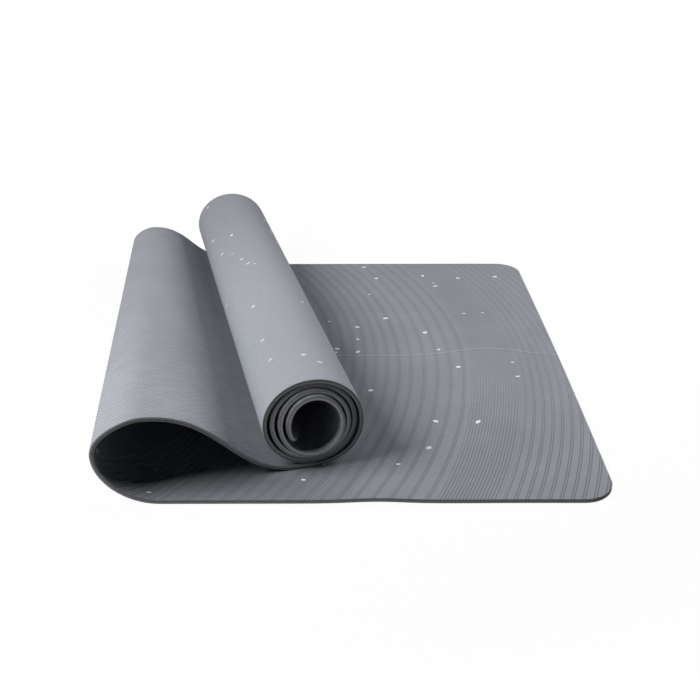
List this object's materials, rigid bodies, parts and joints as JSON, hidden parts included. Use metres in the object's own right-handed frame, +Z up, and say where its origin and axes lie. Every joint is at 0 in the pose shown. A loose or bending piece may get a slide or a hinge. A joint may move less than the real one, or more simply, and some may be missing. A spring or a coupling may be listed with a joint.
{
  "type": "yoga mat",
  "caption": "Two-ply rubber yoga mat, half laid flat, turned over in a skewed loop and wound into an open roll that lies on its own flat part.",
  "frame": {"origin": "on the floor, under the middle of the whole mat as it lies", "axes": "+Z up; +Y along the roll, from the viewer's end to the far end; +X across the roll, from the loop towards the flat part. The mat's own length runs 13.6 degrees from +X, turned towards -Y, because the roll lies askew on it."},
  "size_m": [0.666, 0.7856, 0.1114],
  "materials": {
    "top_rubber": "matt cool grey, smooth, with fine engraved lines and small pale flecks",
    "base_rubber": "matt light cool grey, embossed all over with a fine diagonal weave-like grip"
  },
  "bodies": {
    "root": {"top_ply": "top_rubber", "base_ply": "base_rubber"}
  },
  "joints": []
}
